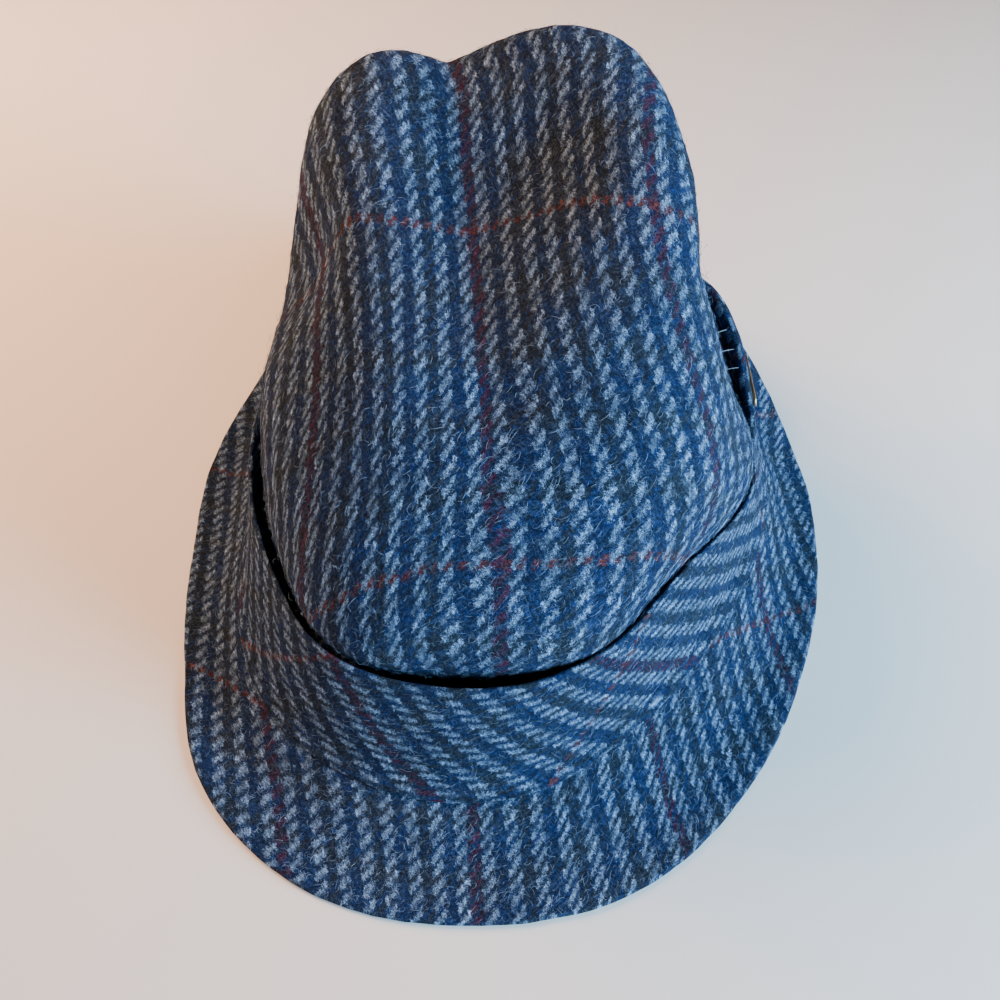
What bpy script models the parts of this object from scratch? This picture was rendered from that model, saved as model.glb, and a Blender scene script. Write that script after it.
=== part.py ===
# A soft tweed hat: crown, hatband, brim and a brass pin on the band.
# Metres, +Z up. The hat rests on z = 0, its front looks along -Y and the pin is on its +X side.

import math

import bmesh
import bpy
import numpy as np

collectionName = "TweedHat"

# Cloth and clearances
crownCloth = 0.0018
bandCloth = 0.0016
brimCloth = 0.0024
seatGap = 0.0003

# Meshing
columnsAround = 60
crownLevels = 24
bandLevels = 4
brimSteps = 6

# The crown is measured up to this level where the band and the brim have to clear it
clearLevel = 0.4
clearRings = 9
clearColumns = 360

# Where the crown stands on the brim
crownFootHeight = 0.0180
flangeInside = 0.0035
flangeOutside = 0.0012

# The brim lies flat on the table over this last share of its width
brimFlatShare = 0.20
brimFallCurve = 1.2
brimRiseCurve = 1.7

# The crown's top rises to the back and to the pin's side, from this level upwards
topRiseBack = 0.20
topRiseSide = 0.07
riseMiddleY = 0.02
riseFromLevel = 0.30
riseOverLevels = 0.40
riseCurve = 1.5
creaseFromLevel = 0.45
creaseOverLevels = 0.25
creaseSharpness = 1.4

# Brim edge seen from above: angle in degrees, reach from the middle, height of its underside
brimEdge = (
    # angle, reach, height
    (-180, 0.1330, 0.000),
    (-158, 0.1390, 0.000),
    (-140, 0.1525, 0.000),
    (-120, 0.1570, 0.000),
    (-98, 0.1535, 0.000),
    (-76, 0.1500, 0.000),
    (-54, 0.1410, 0.000),
    (-32, 0.1355, 0.000),
    (-8, 0.1375, 0.000),
    (10, 0.1432, 0.000),
    (28, 0.1440, 0.020),
    (45, 0.1445, 0.042),
    (68, 0.1560, 0.052),
    (92, 0.1600, 0.048),
    (118, 0.1550, 0.030),
    (140, 0.1460, 0.006),
    (160, 0.1390, 0.000),
)

# Foot of the hatband on the brim's upper face
bandFoot = (
    # angle, reach, height
    (-180, 0.1010, 0.022),
    (-155, 0.1100, 0.018),
    (-138, 0.1160, 0.015),
    (-112, 0.1155, 0.013),
    (-90, 0.1105, 0.013),
    (-68, 0.1005, 0.015),
    (-45, 0.0960, 0.018),
    (-25, 0.0985, 0.020),
    (-8, 0.1065, 0.0215),
    (12, 0.1150, 0.0225),
    (32, 0.1150, 0.024),
    (60, 0.1170, 0.024),
    (90, 0.1250, 0.022),
    (120, 0.1180, 0.022),
    (150, 0.1060, 0.022),
)

# Free upper edge of the hatband, which stands off the crown
bandTop = (
    # angle, reach, height
    (-180, 0.0950, 0.052),
    (-155, 0.0935, 0.049),
    (-131, 0.0972, 0.048),
    (-110, 0.0928, 0.048),
    (-90, 0.0898, 0.049),
    (-67, 0.0850, 0.052),
    (-48, 0.0810, 0.057),
    (-25, 0.0860, 0.061),
    (-8, 0.0930, 0.0605),
    (8, 0.1000, 0.0605),
    (20, 0.1062, 0.0665),
    (34, 0.1125, 0.0730),
    (46, 0.1140, 0.0720),
    (66, 0.1120, 0.063),
    (90, 0.1160, 0.062),
    (120, 0.1110, 0.060),
    (150, 0.1005, 0.056),
)

# Oval sections of the crown from its foot to the middle of its top
crownSections = (
    # level, height, half width, half length, middle x, middle y, turn in degrees, squareness
    (0.00, 0.0180, 0.0850, 0.0910, 0.001, 0.012, 20, 2.2),
    (0.10, 0.0340, 0.0880, 0.0945, 0.001, 0.012, 20, 2.2),
    (0.22, 0.0560, 0.0900, 0.0975, 0.001, 0.013, 16, 2.3),
    (0.36, 0.0840, 0.0860, 0.0945, 0.002, 0.018, 10, 2.5),
    (0.50, 0.1100, 0.0780, 0.0895, 0.003, 0.0245, 6, 2.8),
    (0.62, 0.1310, 0.0650, 0.0810, 0.003, 0.031, 2, 2.9),
    (0.72, 0.1455, 0.0530, 0.0705, 0.003, 0.036, 0, 2.8),
    (0.81, 0.1520, 0.0400, 0.0575, 0.002, 0.037, 0, 2.5),
    (0.91, 0.1550, 0.0210, 0.0320, 0.000, 0.037, 0, 2.2),
    (1.00, 0.1555, 0.0000, 0.0000, 0.000, 0.037, 0, 2.0),
)

# Centre crease along the top
crease = (
    # y, middle x, depth, width to the left, width to the right
    (-0.080, -0.004, 0.000, 0.020, 0.012),
    (-0.052, -0.006, 0.003, 0.024, 0.016),
    (-0.020, -0.007, 0.011, 0.028, 0.028),
    (0.020, -0.008, 0.017, 0.024, 0.036),
    (0.060, -0.008, 0.020, 0.020, 0.038),
    (0.090, -0.009, 0.018, 0.017, 0.036),
    (0.115, -0.011, 0.012, 0.017, 0.032),
    (0.140, -0.012, 0.004, 0.017, 0.030),
)

# Dents and swells: where each is, how far it spreads and how far it moves the cloth
dents = {
    # name: (x, y, z), (spread x, y, z), (push x, y, z)
    "pinch beside the crease": ((0.016, 0.048, 0.140), (0.018, 0.026, 0.040), (0.000, 0.000, -0.012)),
    "left dent": ((-0.060, 0.026, 0.124), (0.020, 0.022, 0.022), (0.006, 0.000, -0.005)),
    "front left swell": ((-0.060, -0.070, 0.050), (0.034, 0.030, 0.030), (-0.003, -0.008, 0.000)),
    "front right hollow": ((0.058, -0.066, 0.050), (0.026, 0.030, 0.030), (-0.006, 0.005, 0.000)),
    "back right waist": ((0.088, 0.072, 0.092), (0.036, 0.050, 0.034), (-0.024, -0.003, 0.000)),
    "back left waist": ((-0.085, 0.060, 0.072), (0.040, 0.044, 0.026), (0.009, -0.002, 0.000)),
    "right swell": ((0.088, -0.020, 0.066), (0.030, 0.032, 0.030), (0.009, 0.000, 0.000)),
    "top left shoulder": ((-0.058, 0.098, 0.138), (0.030, 0.035, 0.026), (-0.007, 0.005, 0.001)),
    "top right shoulder": ((0.062, 0.100, 0.138), (0.030, 0.036, 0.026), (0.005, 0.004, 0.002)),
    "hollow behind the pin": ((0.092, 0.044, 0.086), (0.034, 0.056, 0.044), (-0.0105, 0.000, 0.000)),
    "right ridge": ((0.066, 0.034, 0.142), (0.016, 0.030, 0.009), (0.003, 0.000, 0.000)),
    "fold under the right ridge": ((0.067, 0.012, 0.129), (0.020, 0.030, 0.015), (-0.0032, 0.000, 0.000)),
    "hollow over the pin": ((0.076, -0.018, 0.106), (0.022, 0.034, 0.020), (-0.0036, 0.000, 0.000)),
}

# Brass pin: a long flat loop of wire on the band's outer face
pinAngle = 14.0
pinLevel = 0.86
pinLength = 0.024
pinWidth = 0.0050
pinWire = 0.0007
pinCornerSteps = 6
pinTiltReach = 0.15
pinStandOff = 1.6

tweedColour = (0.085, 0.115, 0.175, 1.0)
bandColour = (0.080, 0.105, 0.160, 1.0)
brassColour = (0.62, 0.38, 0.18, 1.0)


def through(rows, column, where, period=None):
    """Smooth curve through one column of a table, read at the given places."""
    places = [row[0] for row in rows]
    values = [row[column] for row in rows]
    if period:
        places = [places[-2] - period, places[-1] - period] + places + [places[0] + period, places[1] + period]
        values = values[-2:] + values + values[:2]
        where = (np.asarray(where) - places[2]) % period + places[2]
    else:
        places = [2 * places[0] - places[1]] + places + [2 * places[-1] - places[-2]]
        values = values[:1] + values + values[-1:]
    places = np.array(places, float)
    values = np.array(values, float)
    where = np.clip(where, places[1], places[-2])
    i = np.clip(np.searchsorted(places, where, side="right") - 1, 1, len(places) - 3)
    span = places[i + 1] - places[i]
    s = (where - places[i]) / span
    startSlope = (values[i + 1] - values[i - 1]) / (places[i + 1] - places[i - 1]) * span
    endSlope = (values[i + 2] - values[i]) / (places[i + 2] - places[i]) * span
    return (
        (2 * s**3 - 3 * s**2 + 1) * values[i]
        + (s**3 - 2 * s**2 + s) * startSlope
        + (3 * s**2 - 2 * s**3) * values[i + 1]
        + (s**3 - s**2) * endSlope
    )


def anglesAround(count):
    return np.linspace(-math.pi, math.pi, count, endpoint=False)


def placed(angles, reach, height):
    return np.stack([reach * np.cos(angles), reach * np.sin(angles), height + 0 * angles], -1)


def shapedByHand(points, level):
    """Press the crease and the dents into the crown's plain form."""
    x, y, z = points[..., 0], points[..., 1], points[..., 2]
    across = x - through(crease, 1, y)
    width = np.where(across < 0, through(crease, 3, y), through(crease, 4, y))
    onTop = np.clip((level - creaseFromLevel) / creaseOverLevels, 0, 1)
    sink = through(crease, 2, y) * np.exp(-(np.abs(across / width) ** creaseSharpness)) * onTop
    out = points.copy()
    out[..., 2] -= sink
    for place, spread, push in dents.values():
        away = sum(((points[..., k] - place[k]) / spread[k]) ** 2 for k in range(3))
        for k in range(3):
            out[..., k] += push[k] * np.exp(-away)
    return out


def crownRing(angles, level):
    """One closed line round the crown's outer face."""
    height, halfWidth, halfLength, middleX, middleY, turn, square = (
        float(through(crownSections, k, level)) for k in range(1, 8)
    )
    c, s = np.cos(angles), np.sin(angles)
    x = np.sign(c) * np.abs(c) ** (2 / square) * halfWidth
    y = np.sign(s) * np.abs(s) ** (2 / square) * halfLength
    turned = -math.radians(turn)
    px = x * math.cos(turned) - y * math.sin(turned) + middleX
    py = x * math.sin(turned) + y * math.cos(turned) + middleY
    lift = min(max((level - riseFromLevel) / riseOverLevels, 0), 1) ** riseCurve
    pz = height + (topRiseBack * (py - riseMiddleY) + topRiseSide * px) * lift
    return shapedByHand(np.stack([px, py, pz], -1), level)


def crownReach(angles, height):
    """How far the crown's outer face reaches at each angle and height."""
    heights = np.broadcast_to(height, angles.shape)
    fine = anglesAround(clearColumns)
    reaches = []
    ringHeights = []
    for level in np.linspace(0, clearLevel, clearRings):
        ring = crownRing(fine, level)
        seen = np.arctan2(ring[:, 1], ring[:, 0])
        order = np.argsort(seen)
        reach = np.hypot(ring[:, 0], ring[:, 1])[order]
        reaches.append(np.interp(angles, seen[order], reach, period=2 * math.pi))
        ringHeights.append(ring[:, 2].mean())
    reaches = np.array(reaches)
    return np.array([np.interp(heights[i], ringHeights, reaches[:, i]) for i in range(len(angles))])


def bandLine(angles, level):
    """One line round the inner face of the hatband, from its foot (0) to its free edge (1)."""
    degrees = np.degrees(angles)
    footReach = through(bandFoot, 1, degrees, 360)
    footHeight = through(bandFoot, 2, degrees, 360) + seatGap
    topReach = through(bandTop, 1, degrees, 360)
    topHeight = through(bandTop, 2, degrees, 360)
    height = footHeight + (topHeight - footHeight) * level
    reach = footReach + (topReach - footReach) * level
    clear = crownReach(angles, height) + 2 * seatGap
    return placed(angles, np.maximum(reach, clear), height)


def brimRings(angles):
    """Lines round the brim's upper face, from under the crown to the outer edge."""
    degrees = np.degrees(angles)
    flange = crownFootHeight - seatGap
    foot = crownReach(angles, crownFootHeight)
    footReach = through(bandFoot, 1, degrees, 360)
    footHeight = through(bandFoot, 2, degrees, 360)
    edgeReach = through(brimEdge, 1, degrees, 360)
    edgeHeight = np.maximum(through(brimEdge, 2, degrees, 360), 0) + brimCloth
    rings = [
        placed(angles, foot - flangeInside, flange),
        placed(angles, foot + flangeOutside, flange),
    ]
    for step in np.linspace(0, 1, brimSteps):
        fall = np.sin(min(step / (1 - brimFlatShare), 1) * math.pi / 2) ** brimFallCurve
        rise = step**brimRiseCurve
        share = np.where(edgeHeight > footHeight, rise, fall)
        reach = footReach + (edgeReach - footReach) * step
        rings.append(placed(angles, reach, footHeight + (edgeHeight - footHeight) * share))
    return rings


def underside(rings, thickness):
    """The same lines one cloth's thickness lower, square to the way the brim runs out."""
    lower = []
    for i, ring in enumerate(rings):
        start = min(i, len(rings) - 2)
        run = rings[start + 1] - rings[start]
        out = np.hypot(rings[start + 1][:, 0], rings[start + 1][:, 1])
        out = out - np.hypot(rings[start][:, 0], rings[start][:, 1])
        length = np.hypot(out, run[:, 2])
        reach = np.hypot(ring[:, 0], ring[:, 1])
        around = np.arctan2(ring[:, 1], ring[:, 0])
        lowerReach = reach + thickness * run[:, 2] / length
        lower.append(placed(around, lowerReach, ring[:, 2] - thickness * out / length))
    return lower


def clearScene():
    for item in list(bpy.data.objects):
        bpy.data.objects.remove(item, do_unlink=True)
    collection = bpy.data.collections.new(collectionName)
    bpy.context.scene.collection.children.link(collection)
    return collection


def makeMaterial(name, colour, roughness, metallic=0.0):
    material = bpy.data.materials.new(name)
    material.use_nodes = True
    shader = material.node_tree.nodes["Principled BSDF"]
    shader.inputs["Base Color"].default_value = colour
    shader.inputs["Roughness"].default_value = roughness
    shader.inputs["Metallic"].default_value = metallic
    material.diffuse_color = colour
    return material


def loft(name, rings, material, collection, middle, closeTop=False, endToEnd=False):
    """Surface through closed rings; closeTop turns the last ring into one point,
    and endToEnd joins the last ring to the first one.
    """
    mesh = bpy.data.meshes.new(name)
    bm = bmesh.new()
    body = rings[:-1] if closeTop else rings
    rows = [[bm.verts.new(tuple(point - middle)) for point in ring] for ring in body]
    count = len(rows[0])
    nextRows = rows[1:] + rows[:1] if endToEnd else rows[1:]
    for lower, upper in zip(rows, nextRows):
        for i in range(count):
            j = (i + 1) % count
            bm.faces.new((lower[i], lower[j], upper[j], upper[i]))
    if closeTop:
        tip = bm.verts.new(tuple(rings[-1].mean(axis=0) - middle))
        for i in range(count):
            bm.faces.new((rows[-1][i], rows[-1][(i + 1) % count], tip))
    bm.normal_update()
    bm.to_mesh(mesh)
    bm.free()
    item = bpy.data.objects.new(name, mesh)
    item.data.materials.append(material)
    collection.objects.link(item)
    return item


def thicken(item, thickness, side):
    """side -1 adds the cloth behind the surface, +1 in front of it."""
    shell = item.modifiers.new("Cloth", "SOLIDIFY")
    shell.thickness = thickness
    shell.offset = side
    shell.use_rim = True
    shell.use_even_offset = False


def makeCrown(material, collection, middle):
    angles = anglesAround(columnsAround)
    rings = [crownRing(angles, level) for level in np.linspace(0, 1, crownLevels + 1)]
    item = loft("crown", rings, material, collection, middle, closeTop=True)
    thicken(item, crownCloth, -1)


def makeBand(material, collection, middle):
    angles = anglesAround(columnsAround)
    rings = [bandLine(angles, level) for level in np.linspace(0, 1, bandLevels + 1)]
    item = loft("hatband", rings, material, collection, middle)
    thicken(item, bandCloth, 1)


def makeBrim(material, collection, middle):
    upper = brimRings(anglesAround(columnsAround))
    lower = underside(upper, brimCloth)
    loft("brim", upper[::-1] + lower, material, collection, middle, endToEnd=True)


def pinOutline():
    """Long flat loop: two straight runs joined by half circles, as (along, across) pairs."""
    radius = pinWidth / 2
    straight = pinLength / 2 - radius
    outline = []
    for side in (1, -1):
        for step in range(pinCornerSteps + 1):
            turn = math.pi * (step / pinCornerSteps - 0.5)
            outline.append((side * (straight + radius * math.cos(turn)), side * radius * math.sin(turn)))
    return outline


def makePin(material, collection, middle):
    """The loop lies on the band's outer face, clear of the cloth by the seat gap."""
    curve = bpy.data.curves.new("band_pin", "CURVE")
    curve.dimensions = "3D"
    curve.bevel_depth = pinWire
    curve.bevel_resolution = 1
    angle = np.radians([pinAngle])
    low = bandLine(angle, pinLevel - pinTiltReach)[0]
    high = bandLine(angle, pinLevel + pinTiltReach)[0]
    reach = np.hypot(*bandLine(angle, pinLevel)[0][:2])
    up = (high - low) / np.linalg.norm(high - low)
    outline = pinOutline()
    spline = curve.splines.new("POLY")
    spline.points.add(len(outline) - 1)
    spline.use_cyclic_u = True
    for point, (along, across) in zip(spline.points, outline):
        here = np.radians([pinAngle]) + along / reach
        surface = bandLine(here, pinLevel)[0] + up * across
        side = np.array([-math.sin(here[0]), math.cos(here[0]), 0.0])
        out = np.cross(side, up)
        place = surface + out * (bandCloth + seatGap + pinStandOff * pinWire) - middle
        point.co = (*place, 1.0)
    item = bpy.data.objects.new("band_pin", curve)
    item.data.materials.append(material)
    collection.objects.link(item)


def hatMiddle():
    """Middle of the hat's footprint, which becomes the origin."""
    upper = brimRings(anglesAround(columnsAround))
    edge = np.concatenate([upper[-1], underside(upper, brimCloth)[-1]])
    low, high = edge.min(axis=0), edge.max(axis=0)
    return np.array([(low[0] + high[0]) / 2, (low[1] + high[1]) / 2, 0.0])


def main():
    collection = clearScene()
    middle = hatMiddle()
    tweed = makeMaterial("tweed", tweedColour, 0.95)
    bandTweed = makeMaterial("band_tweed", bandColour, 0.95)
    brass = makeMaterial("brass", brassColour, 0.35, 1.0)
    makeCrown(tweed, collection, middle)
    makeBand(bandTweed, collection, middle)
    makeBrim(tweed, collection, middle)
    makePin(brass, collection, middle)


main()
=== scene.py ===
import math

import bpy
import numpy as np
from mathutils import Euler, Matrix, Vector, noise


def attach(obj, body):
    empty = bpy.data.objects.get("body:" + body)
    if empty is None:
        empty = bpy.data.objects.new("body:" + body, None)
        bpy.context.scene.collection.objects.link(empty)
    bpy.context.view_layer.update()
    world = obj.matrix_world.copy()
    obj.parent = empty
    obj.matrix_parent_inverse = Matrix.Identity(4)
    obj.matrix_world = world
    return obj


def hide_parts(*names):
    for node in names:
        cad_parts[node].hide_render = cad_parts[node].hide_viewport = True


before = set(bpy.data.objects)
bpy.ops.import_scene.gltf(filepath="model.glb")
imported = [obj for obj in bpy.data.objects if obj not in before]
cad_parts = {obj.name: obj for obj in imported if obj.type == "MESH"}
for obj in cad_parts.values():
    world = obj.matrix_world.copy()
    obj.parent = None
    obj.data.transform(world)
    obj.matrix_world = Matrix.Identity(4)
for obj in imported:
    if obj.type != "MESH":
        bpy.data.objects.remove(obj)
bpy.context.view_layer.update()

rng = np.random.default_rng(11)
print("frame loaded:", ", ".join(sorted(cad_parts)))

studio = {
    "photoSize": 1000,
    "cameraPlace": (-0.01785, -0.17823, 0.28),
    "cameraTurn": (34.0, 0.0, -4.5),
    "lens": 26.64,
    "sensor": 36.0,
    "nearest": 0.01,
    "floorColour": (0.82, 0.77, 0.70, 1),
    "floorRoughness": 0.8,
    "floorSize": 6.0,
    "floorDrop": 0.0002,
    "sky": (1.0, 0.80, 0.60, 1),
    "skyStrength": 0.10,
    "aim": (0.0, 0.0, 0.06),
    # name, place, power, size, colour
    "lights": (
        ("window", (0.86, -0.42, 0.32), 41.0, 0.45, (0.41, 0.7, 1.0)),
        ("front", (0.25, -0.9, 0.45), 3.0, 0.6, (0.42, 0.71, 1.0)),
        ("lamp", (-0.63, 0.47, 0.68), 24.5, 0.6, (1.0, 0.56, 0.33)),
    ),
}

# The hat's shape, in metres, before it is moved so that its footprint is centred
crown = {
    "columns": 288,
    "levels": 120,
    "cloth": 0.0018,
    "footHeight": 0.018,
    "riseBack": 0.20,
    "riseSide": 0.07,
    "riseMiddleY": 0.02,
    "riseFrom": 0.30,
    "riseOver": 0.40,
    "riseCurve": 1.5,
    "creaseFrom": 0.45,
    "creaseOver": 0.25,
    "creaseSharpness": 1.4,
    # levels at which its reach is read, up to one above the band's top
    "reachLevels": 9,
    "reachTo": 0.4,
    "lumps": 0.0005,
    # level, height, half width, half length, middle x, middle y, turn in degrees, squareness
    "sections": (
        (0.0, 0.018, 0.085, 0.091, 0.001, 0.012, 20, 2.2),
        (0.1, 0.034, 0.088, 0.0945, 0.001, 0.012, 20, 2.2),
        (0.22, 0.056, 0.09, 0.0975, 0.001, 0.013, 16, 2.3),
        (0.36, 0.084, 0.086, 0.0945, 0.002, 0.018, 10, 2.5),
        (0.5, 0.11, 0.078, 0.0895, 0.003, 0.0245, 6, 2.8),
        (0.62, 0.131, 0.065, 0.081, 0.003, 0.031, 2, 2.9),
        (0.72, 0.1455, 0.053, 0.0705, 0.003, 0.036, 0, 2.8),
        (0.81, 0.152, 0.04, 0.0575, 0.002, 0.037, 0, 2.5),
        (0.91, 0.155, 0.021, 0.032, 0.0, 0.037, 0, 2.2),
        (1.0, 0.1555, 0.0, 0.0, 0.0, 0.037, 0, 2.0),
    ),
    # y, middle x, depth, width to the left, width to the right
    "crease": (
        (-0.08, -0.004, 0.0, 0.02, 0.012), (-0.052, -0.006, 0.003, 0.024, 0.016),
        (-0.02, -0.007, 0.011, 0.028, 0.028), (0.02, -0.008, 0.017, 0.024, 0.036),
        (0.06, -0.008, 0.02, 0.02, 0.038), (0.09, -0.009, 0.018, 0.017, 0.036),
        (0.115, -0.011, 0.012, 0.017, 0.032), (0.14, -0.012, 0.004, 0.017, 0.03),
    ),
    # place, spread, push
    "dents": (
        ((0.016, 0.048, 0.14), (0.018, 0.026, 0.04), (0.0, 0.0, -0.012)),
        ((-0.06, 0.026, 0.124), (0.02, 0.022, 0.022), (0.006, 0.0, -0.005)),
        ((-0.06, -0.07, 0.05), (0.034, 0.03, 0.03), (-0.003, -0.008, 0.0)),
        ((0.058, -0.066, 0.05), (0.026, 0.03, 0.03), (-0.006, 0.005, 0.0)),
        ((0.088, 0.072, 0.092), (0.036, 0.05, 0.034), (-0.024, -0.003, 0.0)),
        ((-0.085, 0.06, 0.072), (0.04, 0.044, 0.026), (0.009, -0.002, 0.0)),
        ((0.088, -0.02, 0.066), (0.03, 0.032, 0.03), (0.009, 0.0, 0.0)),
        ((-0.058, 0.098, 0.138), (0.03, 0.035, 0.026), (-0.007, 0.005, 0.001)),
        ((0.062, 0.1, 0.138), (0.03, 0.036, 0.026), (0.005, 0.004, 0.002)),
        ((0.092, 0.044, 0.086), (0.034, 0.056, 0.044), (-0.0105, 0.0, 0.0)),
        ((0.066, 0.034, 0.142), (0.016, 0.03, 0.009), (0.003, 0.0, 0.0)),
        ((0.067, 0.012, 0.129), (0.02, 0.03, 0.015), (-0.0032, 0.0, 0.0)),
        ((0.076, -0.018, 0.106), (0.022, 0.034, 0.02), (-0.0036, 0.0, 0.0)),
    ),
    # smaller folds that only the cloth has: place, spread, push
    "folds": (
        ((-0.036, -0.02, 0.118), (0.01, 0.02, 0.02), (-0.001, 0.0, 0.002)),
        ((0.03, -0.03, 0.112), (0.016, 0.018, 0.02), (0.0, -0.001, 0.002)),
        ((-0.092, -0.03, 0.064), (0.034, 0.052, 0.044), (0.0035, 0.0, 0.0)),
    ),
    "yarn": 0.00127,
    "pickStretch": 1.12,
    # x and y where the burgundy ends cross the rust pick, and where they reach the back;
    # the crossing lies higher than frontAbove and in front of frontTo
    "overcheck": (-0.008, -0.066),
    "overcheckBack": (-0.008, 0.080),
    "frontAbove": 0.03,
    "frontTo": 0.02,
    # the overcheck as the photograph shows it: across and down in its pixels, count
    "endsSeen": (
        (460, 60, 0), (465, 150, 0), (478, 300, 0), (490, 440, 0), (495, 560, 0), (500, 660, 0),
        (421, 150, -0.25), (335, 150, -0.66), (414, 430, -0.27), (405, 560, -0.34), (405, 640, -0.36),
        (334, 460, -0.9), (300, 585, -1), (285, 405, -1.3), (561, 490, 0.25), (627, 490, 0.5),
        (564, 620, 0.25), (616, 610, 0.42), (550, 300, 0.38), (617, 45, 0.86), (666, 300, 1),
    ),
    "picksSeen": (
        (360, 562, 0), (400, 560, 0), (460, 560, 0), (520, 553, 0), (580, 545, 0), (640, 530, 0),
        (405, 640, -0.21), (500, 650, -0.24), (600, 620, -0.19), (410, 340, 0.62), (560, 340, 0.6),
        (415, 215, 1), (500, 205, 1), (604, 194, 1), (638, 187, 1), (300, 405, 0.47), (690, 520, 0.06),
        (706, 400, 0.42),
    ),
    # each seen place pulls the weave widely, and a share of that again close by
    "pullWide": 0.130,
    "pullReach": 0.045,
    "pullNear": 0.10,
    "pullEase": 0.05,
}

band = {
    "columns": 360,
    "levels": 22,
    "cloth": 0.0016,
    "seat": 0.0003,
    # the hem that lies on the brim: how far out each row reaches, and its thickness
    "hem": ((0.0008, 1.0), (0.0022, 0.75), (0.0038, 0.50), (0.0055, 0.25)),
    "hemSeat": 0.0006,
    "lumps": 0.0003,
    # height of the lip's waves, and each wave's count, start and share
    "waves": 0.0006,
    "waveTurns": ((5, 1.0, 1.0), (11, 2.0, 0.6)),
    # the lip's roll beside the pin: thickness, angle, angle it spreads over, level it starts at
    "roll": 0.0040,
    "rollAt": 24,
    "rollOver": 26,
    "rollFrom": 0.80,
    "lipSteps": (0.25, 0.5, 0.75),
    "yarn": 0.00112,
    # yarns that the weave is shifted by at the front, and the back face's shift in metres
    "endsFrom": 20,
    "picksFrom": 6,
    "backShift": 0.0006,
    # angle, reach, height
    "foot": (
        (-180, 0.101, 0.022), (-155, 0.11, 0.018), (-138, 0.116, 0.015), (-112, 0.1155, 0.013),
        (-90, 0.1105, 0.013), (-68, 0.1005, 0.015), (-45, 0.096, 0.018), (-25, 0.0985, 0.02),
        (-8, 0.1065, 0.0215), (12, 0.115, 0.0225), (32, 0.115, 0.024), (60, 0.117, 0.024),
        (90, 0.125, 0.022), (120, 0.118, 0.022), (150, 0.106, 0.022),
    ),
    "top": (
        (-180, 0.095, 0.052), (-155, 0.0935, 0.049), (-131, 0.0972, 0.048), (-110, 0.0928, 0.048),
        (-90, 0.0898, 0.049), (-67, 0.085, 0.052), (-48, 0.081, 0.057), (-25, 0.086, 0.061),
        (-8, 0.093, 0.0605), (8, 0.1, 0.0605), (20, 0.1062, 0.0665), (34, 0.1125, 0.073),
        (46, 0.114, 0.072), (66, 0.112, 0.063), (90, 0.116, 0.062), (120, 0.111, 0.06),
        (150, 0.1005, 0.056),
    ),
}

brim = {
    "columns": 360,
    "steps": 30,
    "cloth": 0.0024,
    "flatShare": 0.20,
    "riseCurve": 1.7,
    "fallCurve": 1.2,
    "edgeSteps": (0.15, 0.5, 0.85),
    "edgeBulge": 0.42,
    "edgeShift": 0.8,
    "solidColumns": 60,
    "solidSteps": 6,
    "flangeInside": 0.0035,
    "flangeOutside": 0.0012,
    "lumps": 0.0003,
    "yarn": 0.00109,
    "pickStretch": 1.12,
    # angle, reach, height of the underside
    "edge": (
        (-180, 0.133, 0.0), (-158, 0.139, 0.0), (-140, 0.1525, 0.0), (-120, 0.157, 0.0), (-98, 0.1535, 0.0),
        (-76, 0.15, 0.0), (-54, 0.141, 0.0), (-32, 0.1355, 0.0), (-8, 0.1375, 0.0), (10, 0.1432, 0.0),
        (28, 0.144, 0.02), (45, 0.1445, 0.042), (68, 0.156, 0.052), (92, 0.16, 0.048), (118, 0.155, 0.03),
        (140, 0.146, 0.006), (160, 0.139, 0.0),
    ),
    # the burgundy ends: count, x where y is lineFront, lean of the line outwards
    "ends": (
        (-3, -0.222, 0.1), (-2, -0.157, 0.14), (-1, -0.0882, 0.17), (0, -0.0194, 0.0), (1, 0.0508, 0.17),
        (2, 0.114, 0.12), (3, 0.178, 0.08), (4, 0.248, 0.05),
    ),
    "lineFront": -0.116,
    "leanReach": 0.1,
    "leanRounds": 6,
    # the rust pick on the brim: x, y
    "pick": (
        (-0.17, -0.044), (-0.136, -0.054), (-0.106, -0.07), (-0.076, -0.086), (-0.036, -0.099),
        (0.004, -0.099), (0.034, -0.086), (0.064, -0.071), (0.089, -0.0626), (0.122, -0.0523),
        (0.17, -0.042),
    ),
}


def through(rows, column, where, period=None):
    # smooth reading of one column of a table whose first column is the place
    places = [row[0] for row in rows]
    values = [row[column] for row in rows]
    if period:
        before, after = [place - period for place in places[-2:]], [place + period for place in places[:2]]
        places = before + places + after
        values = values[-2:] + values + values[:2]
        where = (np.asarray(where) - places[2]) % period + places[2]
    else:
        places = [2 * places[0] - places[1]] + places + [2 * places[-1] - places[-2]]
        values = values[:1] + values + values[-1:]
    places = np.array(places, float)
    values = np.array(values, float)
    where = np.clip(where, places[1], places[-2])
    i = np.clip(np.searchsorted(places, where, side="right") - 1, 1, len(places) - 3)
    span = places[i + 1] - places[i]
    s = (where - places[i]) / span
    startSlope = (values[i + 1] - values[i - 1]) / (places[i + 1] - places[i - 1]) * span
    endSlope = (values[i + 2] - values[i]) / (places[i + 2] - places[i]) * span
    return (
        (2 * s**3 - 3 * s**2 + 1) * values[i]
        + (s**3 - 2 * s**2 + s) * startSlope
        + (3 * s**2 - 2 * s**3) * values[i + 1]
        + (s**3 - s**2) * endSlope
    )


def anglesAround(count):
    return np.linspace(-math.pi, math.pi, count, endpoint=False)


def placed(angles, reach, height):
    return np.stack([reach * np.cos(angles), reach * np.sin(angles), height + 0 * angles], -1)


def readAround(table, angles):
    # reach and height of a table whose first column is the angle in degrees
    degrees = np.degrees(angles)
    return through(table, 1, degrees, 360), through(table, 2, degrees, 360)


def unit(vectors):
    return vectors / np.maximum(np.linalg.norm(vectors, axis=-1, keepdims=True), 1e-12)


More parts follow.
